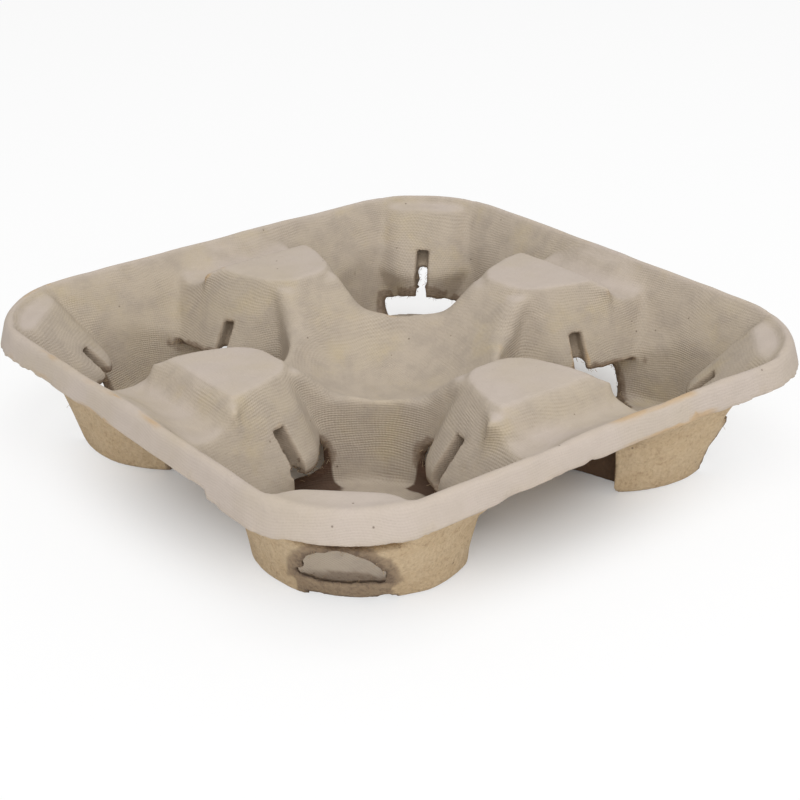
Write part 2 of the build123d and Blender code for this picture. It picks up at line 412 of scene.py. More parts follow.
    def post(self, p, kind):
        """A post with its panel, the pulp that they take from the well, and the channel between
        the post and the rim."""
        pu, pw = (p.u, p.w) if kind == X_PANEL else (p.w, p.u)
        face = self.post_outer + self.POST_OUTER_LEAN * (self.height - p.z)
        face = (face - pu) * per_lean(self.POST_OUTER_LEAN)
        widen = fade(pw, start=10.0, width=22.0)
        foot = self.CHANNEL_OUTER + self.CHANNEL_WIDENING * widen * widen * (3 - 2 * widen)
        slope = (pu - foot - self.CHANNEL_LEAN * (p.z - self.channel)) * per_lean(self.CHANNEL_LEAN)
        slope = soft_max(slope, (pu - p.out) * per_lean(self.SIDE_LEAN), blend=2.0)
        slope = soft_max(overlap(slope, p.pan_wall), pw - self.CHANNEL_HALF, blend=3.0)
        channel = soft_max(soft_max(face, self.channel - p.z, blend=5.0), slope, blend=4.0)
        above = soft_max(soft_max(face, p.ledge - p.z, blend=3.0), p.pan_wall, blend=2.5)
        along, across = self.panel_axes(pu, pw, -self.PANEL_ANGLE)
        reach, front = self.panel_front(along, p.rise, self.POST_FORM)
        flank = self.panel_flank(along, -across, reach, p.rise, self.POST_FORM)
        shoulder = (pw - self.SHOULDER_HALF + self.SHOULDER_LEAN * p.rise) * per_lean(self.SHOULDER_LEAN)
        core = soft_max(soft_max(front, flank, blend=1.8), shoulder, blend=2.5)
        core = soft_max(core, -soft_min(channel, above, blend=3.0), blend=2.0)
        lip = self.post_lip(p, across, kind)
        core = soft_max(core, lip - p.z, blend=1.0)
        return Panel(kind, along, across, front, overlap(front, flank, shoulder), lip), core, channel

    def saddle_top(self, p):
        """The level top of the ridge between the bowl and a well."""
        inward = (p.u + p.w) / sqrt(2)
        aside = np.abs(p.u - p.w) / sqrt(2)
        notch = aside - self.SADDLE_HALF_WIDTH - self.SADDLE_LEAN * (p.z - self.saddle)
        notch = soft_max(notch * per_lean(self.SADDLE_LEAN), self.saddle - p.z, blend=3.0)
        return soft_max(notch, np.abs(inward - self.SADDLE_REACH) - self.SADDLE_HALF_LENGTH, blend=4.0)

    def bowl(self, p):
        """The bowl in the middle."""
        bowl = np.hypot(p.u, p.w) - self.basin_top + self.BASIN_LEAN * (self.height - p.z)
        return soft_max(bowl * per_lean(self.BASIN_LEAN), self.basin_floor - p.z, blend=12.0)

    def slot(self, p, panel):
        """The groove up the middle of a panel."""
        drop = np.where(p.near, self.NEAR_SLOT_DROPS[panel.kind], self.SLOT_DROPS[panel.kind])
        shift = 0.0 if panel.kind == CORNER_PANEL else np.where(p.near, 0.0, self.SLOT_SHIFT)
        half = self.slot_depth / 2
        return overlap(strip(panel.across, shift, self.slot_width / 2),
                       p.z - (self.slot_top - drop), self.lip - 1.0 - p.z,
                       np.abs(panel.front + half - self.SLOT_LEAD) - half - self.SLOT_LEAD)

    def skirt(self, p):
        """Distance outside the bead and the skirt below it."""
        lean = self.skirt_flare / self.skirt_drop
        return (self.in_plan(p.u, p.w, self.rim_radius) - lean * (p.top - p.z)) * per_lean(lean)

    def trimmed(self, p, sheet, outside):
        """The sheet inside the trimmed edge of the skirt."""
        ragged = self.rough(p.x, p.y, p.z, scale=5.0) * 0.35 + self.rough(p.x, p.y, p.z, scale=1.8) * 0.2
        step = (fade(self.STEP_START - p.y, start=0.0, width=1.2)
                * fade(p.y, start=self.STEP_END, width=16.0))
        step = np.where(p.x < self.STEP_SIDE, step * self.STEP_DEPTH, 0.0)
        foot = p.top - self.skirt_drop - self.skirt_corner * self.DROOP_GAIN * p.droop + ragged - step
        trim = overlap(-(outside + self.TRIM_DEPTH), p.z - foot)
        sheet = soft_max(sheet, -trim, blend=0.6)
        return overlap(sheet, p.u - self.REACH, p.w - self.REACH)

    def window(self, p, panel):
        """Outline of the window behind a panel, through the whole wall and beyond."""
        kind = panel.kind
        inner, outer = self.WINDOW_ENDS[kind]
        near_inner, near_outer = self.NEAR_WINDOW_ENDS[kind]
        inner = np.where(p.near, near_inner, inner)
        outer = np.where(p.near, near_outer, outer + np.where(p.right, self.RIGHT_TEARS[kind], 0.0))
        sill = np.where(p.near, self.NEAR_SILLS[kind], self.SILL)
        middle = (sill + self.window_top) / 2
        tall = (self.window_top - sill) / 2
        offset = panel.across - (outer + inner) / 2
        half = (outer - inner) / 2
        bend = np.minimum(half, tall) * self.WINDOW_ROUNDING
        window = box_corner(np.abs(offset) - half + bend, np.abs(p.z - middle) - tall + bend, bend)
        if kind == CORNER_PANEL:
            arch = np.hypot(offset / self.NEAR_ARCH_HALF, (p.z - sill) / (self.NEAR_WINDOW_TOP - sill))
            arch = overlap((arch - 1.0) * self.NEAR_ARCH_SCALE, sill - p.z)
            window = np.where(p.back, overlap(window, p.z - panel.lip - 1.0), window)
            return np.where(p.near, arch, window)
        return np.where(p.right & (kind == Y_PANEL), FAR, window)

    def opening(self, p, panel, window):
        """What is torn out at a panel: its underside, its window, its lip's edge, and at a corner
        the foot below the window and the back well's slit."""
        corner = panel.kind == CORNER_PANEL
        within = p.side + np.where(p.near & corner, self.NEAR_TORN_INSET, self.TORN_INSET)
        under = overlap(panel.behind + self.wall * self.UNDER_WALLS,
                        p.z - panel.lip - self.wall - self.UNDER_ABOVE,
                        panel.lip - self.UNDER_BELOW - p.z, within)
        edge = overlap(strip(p.z, panel.lip, self.EDGE_HALF),
                       strip(panel.behind, -self.EDGE_MIDDLE, self.EDGE_REACH), within)
        before = self.WINDOW_START - panel.along
        depth_in = self.WINDOW_IN + np.where(p.right & (not corner), self.RIGHT_TEAR_IN, 0.0)
        window = overlap(window, -p.side - depth_in, p.side - self.WINDOW_OUT, before)
        opening = union(under, window, edge)
        if corner:
            foot = overlap(strip(panel.across, 0.0, self.FOOT_HALF), p.z - self.FOOT_HEIGHT,
                           -p.side - self.WINDOW_IN, before)
            slit = overlap(strip(panel.across, 0.0, self.BACK_SLIT_HALF),
                           strip(panel.front, -self.BACK_SLIT_MIDDLE, self.BACK_SLIT_REACH),
                           p.z - self.BACK_SLIT_TOP, panel.lip - 1.0 - p.z)
            opening = union(opening, foot, np.where(p.back, slit, FAR))
        return opening

    def stain(self, p, panel, window, torn, grit):
        """Brown of torn pulp together with painted shade: above a torn lip, round a window, and at the foot
        of the near corner.
        """
        corner = panel.kind == CORNER_PANEL
        band = np.where(p.back & corner, self.BACK_LIP_BAND, self.LIP_BAND) + grit
        above = overlap(p.z - panel.lip - band, panel.lip - p.z - 1.0,
                        strip(panel.front, 0.0, 2.5), panel.behind - 2.0)
        before = self.WINDOW_START - panel.along
        band = np.where(p.back & corner, self.BACK_WINDOW_BAND, self.WINDOW_BAND) + 0.7 * torn
        border = overlap(window - band, strip(p.side, 1.0, 3.5), before)
        stain = union(above, border)
        if corner:
            foot = overlap(strip(panel.across, -2.0, self.FOOT_BAND_HALF),
                           p.z - self.FOOT_BAND_TOP - 2.0 * grit, before)
            stain = union(stain, np.where(p.near, foot, FAR))
        return stain

    def hollow(self, p, panel, depth):
        """Painted shade: pulp coloured as dark as deep shade under the near well's post panels, and on the
        outer side of the right well's whole panel, where it is darker towards the bottom."""
        inner, outer = self.NEAR_WINDOW_ENDS[panel.kind]
        under = overlap(strip(panel.across, (inner + outer) / 2, (outer - inner) / 2) - 0.5,
                        strip(p.side, 0.5, 3.5), p.z - self.NEAR_HOLLOW_TOP,
                        self.HOLLOW_START - panel.along)
        hollow = np.where(p.near, under, FAR)
        if panel.kind == Y_PANEL:
            whole = overlap(strip(panel.front, -1.5, 3.0), p.z - self.RIGHT_HOLLOW_TOP,
                            1.0 - depth, panel.behind - 2.6, panel.across - self.RIGHT_UNTORN + 0.5)
            whole = whole + fade(p.z, start=8.0, width=9.0) * 0.4
            hollow = union(hollow, np.where(p.right, whole, FAR))
        return hollow

    def fields(self, x, y, z):
        """Depth below the upper face, the sheet, where it is torn, and where shade is painted: in the
        grooves, in the hollows, and in brown bands of torn pulp.
        """
        p = self.place(x, y, z)
        space = self.wells(p)
        panel, core = self.corner_panel(p)
        panels = [panel]
        space = soft_max(space, -core, blend=2.0)
        pan = soft_max(p.pan_wall, p.ledge - z, blend=2.5)
        space = soft_min(space, pan, blend=2.0)
        for kind in (X_PANEL, Y_PANEL):
            panel, core, channel = self.post(p, kind)
            panels.append(panel)
            space = soft_max(space, -core, blend=1.8)
            space = soft_min(space, channel, blend=1.5)
        space = soft_min(space, self.saddle_top(p), blend=2.5)
        space = soft_min(space, self.bowl(p), blend=2.0)
        groove = np.full_like(space, FAR)
        for panel in panels:
            slot = self.slot(p, panel)
            space = soft_min(space, slot, blend=0.8)
            # Where the inside of a slot's groove is coloured with painted shade
            groove = union(groove, overlap(slot, panel.front + 0.6))
        outside = self.skirt(p)
        depth = soft_min(space, soft_min(p.top - z, -outside, blend=3.0), blend=1.3)
        depth = (depth + self.rough(x, y, z, scale=16.0) * self.wave
                 + self.rough(x, y, z, scale=7.0) * self.wave * 0.35)
        depth = np.where(z < self.wall + 2.0, overlap(depth, self.wall - z), depth)
        sheet = np.abs(depth - self.wall / 2) - self.wall / 2
        sheet = self.trimmed(p, sheet, outside)
        torn = self.rough(x, y, z, scale=3.1) * 0.5 + self.rough(x, y, z, scale=1.3) * 0.3
        grit = self.rough(x, y, z, scale=2.5)
        cut = np.full_like(sheet, -FAR)
        hollow = np.full_like(space, FAR)
        stain = np.full_like(space, FAR)
        for panel in panels:
            window = self.window(p, panel)
            cut = overlap(cut, -(self.opening(p, panel, window) + torn))
            # Brown bands of torn pulp together with painted shade
            stain = union(stain, self.stain(p, panel, window, torn, grit))
            # Painted shade in the hollows behind the posts' panels
            if panel.kind != CORNER_PANEL:
                hollow = union(hollow, self.hollow(p, panel, depth))
        sheet = soft_max(sheet, cut, blend=0.5)
        return depth, sheet, cut, groove, hollow, stain


# Meshes

def surface_net(field, start, step):
    """Vertices and quads of the zero level of a field on a grid, facing out of the negative side."""
    inside = field < 0
    steps = [(i, j, k) for i in (0, 1) for j in (0, 1) for k in (0, 1)]
    nx, ny, nz = field.shape
    corners = [inside[i:nx - 1 + i, j:ny - 1 + j, k:nz - 1 + k] for i, j, k in steps]
    crossed = np.logical_or.reduce(corners) & ~np.logical_and.reduce(corners)
    cells = np.nonzero(crossed)
    ids = np.full(crossed.shape, -1, np.int64)
    ids[cells] = np.arange(len(cells[0]))
    total = np.zeros((len(cells[0]), 3))
    count = np.zeros(len(cells[0]))
    for low in steps:
        for axis in range(3):
            if low[axis]:
                continue
            high = list(low)
            high[axis] = 1
            a = field[cells[0] + low[0], cells[1] + low[1], cells[2] + low[2]]
            b = field[cells[0] + high[0], cells[1] + high[1], cells[2] + high[2]]
            hit = (a < 0) != (b < 0)
            place = np.tile(np.array(low, float), (int(hit.sum()), 1))
            place[:, axis] += a[hit] / (a[hit] - b[hit])
            total[hit] += place
            count[hit] += 1
    points = (total / count[:, None] + np.stack(cells, 1)) * step + np.array(start)
    quads = []
    for axis in range(3):
        first = [slice(None)] * 3
        second = [slice(None)] * 3
        first[axis] = slice(0, -1)
        second[axis] = slice(1, None)
        edges = np.nonzero(inside[tuple(first)] != inside[tuple(second)])
        forward = inside[tuple(first)][edges]
        p, q = [other for other in range(3) if other != axis]

        def cell(dp, dq):
            at = list(edges)
            at[p] = at[p] - dp
            at[q] = at[q] - dq
            return ids[tuple(at)]

        ring = np.stack([cell(1, 1), cell(0, 1), cell(0, 0), cell(1, 0)], 1)
        if axis == 1:
            forward = ~forward
        ring[~forward] = ring[~forward][:, ::-1]
        quads.append(ring)
    return points, np.concatenate(quads)


def mesh_from_arrays(name, points, quads):
    mesh = bpy.data.meshes.new(name)
    mesh.vertices.add(len(points))
    mesh.vertices.foreach_set("co", points.astype(np.float32).ravel())
    mesh.loops.add(quads.size)
    mesh.loops.foreach_set("vertex_index", quads.astype(np.int32).ravel())
    mesh.polygons.add(len(quads))
    mesh.polygons.foreach_set("loop_start", np.arange(0, quads.size, 4, dtype=np.int32))
    mesh.update(calc_edges=True)
    mesh.validate()
    return mesh


def add_object(name, mesh):
    piece = bpy.data.objects.new(name, mesh)
    bpy.context.scene.collection.objects.link(piece)
    return piece


def bake(piece):
    """Work the piece's modifiers into a plain mesh and remove them."""
    evaluated = piece.evaluated_get(bpy.context.evaluated_depsgraph_get())
    mesh = bpy.data.meshes.new_from_object(evaluated)
    piece.modifiers.clear()
    old = piece.data
    piece.data = mesh
    bpy.data.meshes.remove(old)


def vertex_vectors(mesh, name):
    vectors = np.empty(len(mesh.vertices) * 3, np.float32)
    mesh.vertices.foreach_get(name, vectors)
    return vectors.reshape(-1, 3)


def write_attribute(mesh, name, values, lowest=0.0):
    attribute = mesh.attributes.new(name, "FLOAT", "POINT")
    values = np.clip(values, lowest, 1.0)
    attribute.data.foreach_set("value", np.ascontiguousarray(values, dtype=np.float32))


# Materials

# Colours and sizes of the pulp's patterns, and colours of painted shade in grooves, brown bands and hollows
BROAD = (0.45, 0.38, 0.27)
CLOUD = (0.37, 0.315, 0.26)
WARM = (0.50, 0.41, 0.26)
RIDGE = (0.54, 0.45, 0.34)
RUST = (0.50, 0.32, 0.15)
SCREEN_DARK = (0.27, 0.215, 0.165)
SCREEN_PALE = (0.68, 0.59, 0.50)
SCREEN_DRIFT = 0.009
SCREEN_STRENGTHS = (0.4, 0.4, 1.0)
FELT_PALE = (0.70, 0.60, 0.45)
FLECK = (0.10, 0.07, 0.05)
FLECK_SCALE = 230.0
FLECK_CHANCE = 0.12
# Painted shade inside the slots' grooves
GROOVE_SHADE = (0.33, 0.26, 0.195)
# Brown of torn pulp, darkened as painted shade on the lips' flanges, round windows and at the near foot
TORN_BROWN_AND_SHADE = (0.19, 0.135, 0.095)
# Painted shade: the near-black brown of the deep hollows
HOLLOW_SHADE = (0.075, 0.04, 0.025)
WHITE = (1.0, 1.0, 1.0)


class Nodes:
    """Short calls for building a node tree."""

    def __init__(self, tree):
        self.tree = tree
        tree.nodes.clear()

    def add(self, kind, **settings):
        node = self.tree.nodes.new(kind)
        for key, value in settings.items():
            setattr(node, key, value)
        return node

    def put(self, socket, value):
        if isinstance(value, bpy.types.NodeSocket):
            self.tree.links.new(value, socket)
        elif hasattr(socket.default_value, "__len__") and not hasattr(value, "__len__"):
            socket.default_value = [value] * len(socket.default_value)
        elif hasattr(socket.default_value, "__len__") and len(socket.default_value) == 4 and len(value) == 3:
            socket.default_value = (*value, 1.0)
        else:
            socket.default_value = value

    def math(self, operation, *values):
        node = self.add("ShaderNodeMath", operation=operation)
        for socket, value in zip(node.inputs, values):
            self.put(socket, value)
        return node.outputs[0]

    def times(self, a, b):
        return self.math("MULTIPLY", a, b)

    def plus(self, a, b):
        return self.math("ADD", a, b)

    def less(self, a, b):
        return self.math("SUBTRACT", a, b)

    def vector(self, operation, *values):
        node = self.add("ShaderNodeVectorMath", operation=operation)
        for socket, value in zip(node.inputs, values):
            self.put(socket, value)
        return node.outputs["Value"] if operation == "LENGTH" else node.outputs[0]

    def mix(self, factor, a, b):
        node = self.add("ShaderNodeMix", data_type="RGBA")
        self.put(node.inputs["Factor"], factor)
        colours = [socket for socket in node.inputs if socket.type == "RGBA"]
        self.put(colours[0], a)
        self.put(colours[1], b)
        return [socket for socket in node.outputs if socket.type == "RGBA"][0]

    def ramp(self, value, low, high, to_low=0.0, to_high=1.0):
        node = self.add("ShaderNodeMapRange", interpolation_type="SMOOTHSTEP")
        for name, setting in (("Value", value), ("From Min", low), ("From Max", high),
                              ("To Min", to_low), ("To Max", to_high)):
            self.put(node.inputs[name], setting)
        return node.outputs["Result"]

    def noise(self, place, scale, detail=2.0, roughness=0.5, output="Fac"):
        node = self.add("ShaderNodeTexNoise")
        for name, setting in (("Vector", place), ("Scale", scale), ("Detail", detail),
                              ("Roughness", roughness)):
            self.put(node.inputs[name], setting)
        return node.outputs[output]

    def attribute(self, name):
        return self.add("ShaderNodeAttribute", attribute_name=name).outputs["Fac"]

    def parts(self, vector):
        """A vector's X, Y and Z parts."""
        node = self.add("ShaderNodeSeparateXYZ")
        self.put(node.inputs[0], vector)
        return node.outputs

    def object_place(self):
        return self.add("ShaderNodeTexCoord").outputs["Object"]

    def bump(self, height, distance):
        node = self.add("ShaderNodeBump")
        self.put(node.inputs["Height"], height)
        self.put(node.inputs["Distance"], distance)
        self.put(node.inputs["Strength"], 1.0)
        return node.outputs["Normal"]

    def seen(self):
        """1 where the camera, a mirror or a pane looks straight at what the tree colours."""
        path = self.add("ShaderNodeLightPath")
        seen = self.math("MAXIMUM", path.outputs["Is Camera Ray"], path.outputs["Is Glossy Ray"])
        return self.math("MAXIMUM", seen, path.outputs["Is Transmission Ray"])

    def end(self, kind, surface):
        """Lead a surface into the tree's output."""
        self.put(self.add(kind).inputs["Surface"], surface)


def new_material(name):
    material = bpy.data.materials.new(name)
    material.use_nodes = True
    return material, Nodes(material.node_tree)


def matt_shader(n, base, roughness, specular):
    shader = n.add("ShaderNodeBsdfPrincipled")
    n.put(shader.inputs["Base Color"], base)
    n.put(shader.inputs["Roughness"], roughness)
    n.put(shader.inputs["Specular IOR Level"], specular)
    return shader


def screen_marks(n, place, pitch):
    """Marks of a woven screen laid over the mould: lines square to each axis, weaker where
    the surface faces along it, and wandering a little as the screen was stretched."""
    drift = n.noise(place, scale=35.0, detail=1.0, output="Color")
    place = n.parts(n.vector("ADD", place, n.vector("MULTIPLY", drift, (SCREEN_DRIFT,) * 3)))
    facing = n.parts(n.add("ShaderNodeNewGeometry").outputs["True Normal"])
    total = None
    for axis, strength in enumerate(SCREEN_STRENGTHS):
        wave = n.math("SINE", n.times(place[axis], 2 * pi / pitch))
        across = n.less(1.0, n.math("POWER", n.math("ABSOLUTE", facing[axis]), 2.0))
        line = n.times(wave, n.times(across, strength))
        total = line if total is None else n.plus(total, line)
    return total


def upper_face(n, place, finish, cloud):
    """Colour of the upper face, and the screen's marks on it."""
    smooth = n.attribute("smooth")
    ridge = n.attribute("ridge")
    uneven = n.less(1.0, n.times(smooth, 0.8))
    face = n.mix(smooth, finish.face, finish.face_pale)
    face = n.mix(n.ramp(n.noise(place, scale=28.0, detail=3.0), 0.4, 0.7, 0.0, 0.4), face, BROAD)
    face = n.mix(n.times(n.ramp(cloud, 0.38, 0.7, 0.0, 0.65), uneven), face, CLOUD)
    warm = n.ramp(n.noise(place, scale=60.0, detail=4.0, roughness=0.6), 0.5, 0.75, 0.0, 0.5)
    face = n.mix(n.times(warm, uneven), face, WARM)
    face = n.mix(n.ramp(ridge, 0.15, 0.5, 0.0, 0.25), face, RIDGE)
    crease = n.times(n.ramp(ridge, 0.22, 0.5), n.ramp(n.noise(place, scale=24.0), 0.54, 0.64))
    face = n.mix(n.times(crease, 0.6), face, RUST)
    patch = n.ramp(n.noise(place, scale=45.0, detail=2.0), 0.3, 0.7, 0.25, 1.0)
    marked = n.times(patch, n.less(1.0, n.times(smooth, 0.7)))
    screened = n.times(screen_marks(n, place, finish.screen_pitch), marked)
    face = n.mix(n.ramp(screened, 0.3, -1.1, 0.0, 0.36), face, SCREEN_DARK)
    face = n.mix(n.ramp(screened, 0.3, 1.2, 0.0, 0.3), face, SCREEN_PALE)
    return face, screened


def underside(n, finish, fibre, lump, grain):
    """Colour of the rough felted side."""
    felt = n.mix(n.ramp(fibre, 0.5, 0.72, 0.0, 0.85), finish.felt, finish.felt_dark)
    felt = n.mix(n.ramp(lump, 0.35, 0.65, 0.0, 0.5), felt, n.mix(0.3, finish.felt, FELT_PALE))
    return n.mix(n.ramp(grain, 0.35, 0.65, 0.3, 0.0), felt, finish.felt_dark)


def flecks(n, place):
    """1 on small dark specks, in some of the pattern's cells."""
    cells = n.add("ShaderNodeTexVoronoi", feature="F1")
    n.put(cells.inputs["Vector"], place)
    n.put(cells.inputs["Scale"], FLECK_SCALE)
    chance = n.add("ShaderNodeSeparateColor")
    n.put(chance.inputs[0], cells.outputs["Color"])
    spot = n.ramp(cells.outputs["Distance"], 0.05, 0.11, 1.0, 0.0)
    return n.times(spot, n.math("LESS_THAN", chance.outputs[0], FLECK_CHANCE))


def pulp_material(finish):
    material, n = new_material("moulded_pulp")
    place = n.object_place()
    under = n.attribute("under")
    cloud = n.noise(place, scale=140.0, detail=4.0, roughness=0.6)
    grain = n.noise(place, scale=900.0, detail=3.0, roughness=0.6)
    fibre = n.noise(place, scale=700.0, detail=4.0, roughness=0.65)
    lump = n.noise(place, scale=120.0, detail=3.0, roughness=0.6)
    face, screened = upper_face(n, place, finish, cloud)
    base = n.mix(n.ramp(under, 0.45, 0.75), face, underside(n, finish, fibre, lump, grain))
    base = n.mix(n.times(flecks(n, place), 0.65), base, FLECK)
    # Torn edges, and painted shade in the grooves, in the brown bands of torn pulp and in the dark hollows
    torn = n.mix(n.ramp(fibre, 0.4, 0.65), finish.cut, n.mix(0.45, finish.cut, finish.felt))
    base = n.mix(n.ramp(n.attribute("cut"), 0.2, 0.8), base, torn)
    # Painted shade: the inside of each slot's groove coloured darker
    base = n.mix(n.ramp(n.attribute("groove"), 0.2, 0.8, 0.0, 0.6), base, GROOVE_SHADE)
    # Brown bands: the torn pulp's own brown together with painted shade
    torn_brown_and_shade_amount = n.times(n.ramp(n.attribute("stain"), 0.2, 0.8), n.ramp(fibre, 0.25, 0.6, 0.9, 0.6))
    base = n.mix(torn_brown_and_shade_amount, base, TORN_BROWN_AND_SHADE)
    # Painted shade in the deep hollows under the near well's post panels and outside the right well's whole
    # panel
    base = n.mix(n.ramp(n.attribute("hollow"), 0.3, 0.8, 0.0, 0.92), base, HOLLOW_SHADE)
    # Relief, in millimetres
    upper = n.plus(n.plus(n.times(screened, 0.055), n.times(grain, 0.2)), n.times(cloud, 0.5))
    lower = n.plus(n.plus(n.times(fibre, 0.7), n.times(lump, 1.4)), n.times(grain, 0.25))
    blend = n.ramp(under, 0.4, 0.8)
    relief = n.plus(n.times(upper, n.less(1.0, blend)), n.times(lower, blend))
    shader = matt_shader(n, base, roughness=0.92, specular=0.15)
    n.put(shader.inputs["Normal"], n.bump(relief, MM))
    n.end("ShaderNodeOutputMaterial", shader.outputs[0])
    return material


def fibre_material(finish):
    material, n = new_material("torn_fibre")
    patch = n.ramp(n.noise(n.object_place(), scale=260.0), 0.35, 0.65)
    shader = matt_shader(n, n.mix(patch, finish.felt_dark, finish.felt), roughness=0.95, specular=0.1)
    n.end("ShaderNodeOutputMaterial", shader.outputs[0])
    return material


def backdrop_material(finish):
    """Floor that is white where it is seen away from the tray, and keeps the tray's shadow."""
    material, n = new_material("backdrop")
    diffuse = n.add("ShaderNodeBsdfDiffuse")
    n.put(diffuse.inputs["Color"], finish.backdrop)
    glow = n.add("ShaderNodeEmission")
    n.put(glow.inputs["Color"], WHITE)
    n.put(glow.inputs["Strength"], 1.0)
    outside = n.ramp(n.vector("LENGTH", n.object_place()), 0.06, 0.125)
    mixed = n.add("ShaderNodeMixShader")
    n.put(mixed.inputs[0], n.times(n.seen(), n.times(outside, 0.8)))
    n.put(mixed.inputs[1], diffuse.outputs[0])
    n.put(mixed.inputs[2], glow.outputs[0])
    n.end("ShaderNodeOutputMaterial", mixed.outputs[0])
    return material


# The sheet

# The grid that the sheet is meshed on, in millimetres
GRID_REACH = 109.5
GRID_BOTTOM = -1.7
GRID_TOP = 46.5
# Edges away that a vertex is compared with to find ridges
RIDGE_STEPS = 4


class CARRIER_OT_sheet(bpy.types.Operator):
    """Mesh the moulded sheet from its sizes and give it its pulp finish"""
    bl_idname = "carrier.sheet"
    bl_label = "Pulp Sheet"

    def execute(self, context):
        sheet = Sheet(context.scene.carrier_shape)
        step = sheet.cell
        plan = np.arange(-GRID_REACH, GRID_REACH + step, step, dtype=np.float32)
        rows = np.arange(GRID_BOTTOM, GRID_TOP, step, dtype=np.float32)
        grid = np.meshgrid(plan, plan, rows, indexing="ij")
        field = sheet.fields(*grid)[1]
        points, quads = surface_net(field, (plan[0], plan[0], rows[0]), step)
        mesh = mesh_from_arrays("pulp_sheet", points * MM, quads)
        piece = add_object("pulp_sheet", mesh)
        cull = piece.modifiers.new("thin_out", "DECIMATE")
        cull.ratio = min(1.0, sheet.faces / (2.0 * len(quads)))
        bake(piece)
        finish_sheet(piece.data, sheet)
        piece.data.materials.append(pulp_material(context.scene.carrier_finish))
        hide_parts(NODE)
        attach(piece, "root")
        return {"FINISHED"}


def neighbour_mean(mesh, values):
    """For each vertex, the mean of the values at the other ends of its edges."""
    edges = np.empty(len(mesh.edges) * 2, np.int32)
    mesh.edges.foreach_get("vertices", edges)
    edges = edges.reshape(-1, 2)
    total = np.zeros_like(values)
    count = np.zeros(len(values), values.dtype)
    for a, b in ((0, 1), (1, 0)):
        np.add.at(total, edges[:, a], values[edges[:, b]])
        np.add.at(count, edges[:, a], 1)
    return total / np.maximum(count, 1)[:, None]


def finish_sheet(mesh, sheet):
    """Shade the mesh smooth and write the attributes that its material reads."""
    places = vertex_vectors(mesh, "co") / MM
    normals = vertex_vectors(mesh, "normal")
    x, y, z = places.T
    depth, _, cut, groove, hollow, stain = sheet.fields(x, y, z)
    write_attribute(mesh, "under", depth / sheet.wall)
    # Name, field, value at the field's edge, and how far inside the value is 1 more
    for name, field, at_edge, reach in (("stain", stain, 0.5, 1.4), ("hollow", hollow, 0.5, 1.5),
                                        ("cut", -cut, 1.0, 1.6), ("groove", groove, 1.0, 1.2)):
        write_attribute(mesh, name, at_edge - field / reach)
    mean = places
    for _ in range(RIDGE_STEPS):
        mean = neighbour_mean(mesh, mean)
    write_attribute(mesh, "ridge", ((places - mean) * normals).sum(1), lowest=-1.0)
    level = fade(normals[:, 2], start=0.75, width=0.2) * fade(z, start=33.0, width=4.0)
    rim = sheet.in_plan(np.abs(x), np.abs(y), sheet.rim_radius)
    write_attribute(mesh, "smooth", np.maximum(level, fade(rim, start=-3.5, width=2.0)))
    mesh.shade_smooth()


# Loose fibres

FIBRE_SEED = 5
FIBRE_FLOOR = 3.6 * MM
FIBRE_TILT = 0.7
FIBRE_SHORTEST = 0.35
# Where a fibre's middle and end lie, as shares of its length along X and Z
FIBRE_BEND = (("Middle", 0.35, 0.55), ("End", 0.9, 0.6))


class FieldNodes(Nodes):
    """Short calls for a Geometry Nodes tree."""

    def random(self, kind, low, high, seed):
        node = self.add("FunctionNodeRandomValue", data_type=kind)
        ends = [socket for socket in node.inputs if socket.enabled and socket.name in ("Min", "Max")]
        self.put(ends[0], low)
        self.put(ends[1], high)
        self.put(node.inputs["Seed"], seed)
        return [socket for socket in node.outputs if socket.enabled][0]

    def named(self, name):
        node = self.add("GeometryNodeInputNamedAttribute", data_type="FLOAT")
        self.put(node.inputs["Name"], name)
        return node.outputs["Attribute"]

    def joined(self, x, z):
        """A vector from its X and Z parts."""
        node = self.add("ShaderNodeCombineXYZ")
        self.put(node.inputs[0], x)
        self.put(node.inputs[2], z)
        return node.outputs[0]


def fibre_thread(n, length_socket, radius_socket):
    """One fibre: a bent, three-sided thread."""
    path = n.add("GeometryNodeCurveQuadraticBezier")
    n.put(path.inputs["Resolution"], 4)
    n.put(path.inputs["Start"], (0.0, 0.0, 0.0))
    for name, x, z in FIBRE_BEND:
        n.put(path.inputs[name], n.joined(n.times(length_socket, x), n.times(length_socket, z)))
    ring = n.add("GeometryNodeCurvePrimitiveCircle")
    n.put(ring.inputs["Resolution"], 3)
    n.put(ring.inputs["Radius"], radius_socket)
    thread = n.add("GeometryNodeCurveToMesh")
    n.put(thread.inputs["Curve"], path.outputs[0])
    n.put(thread.inputs["Profile Curve"], ring.outputs[0])
    n.put(thread.inputs["Fill Caps"], True)
    return thread.outputs[0]


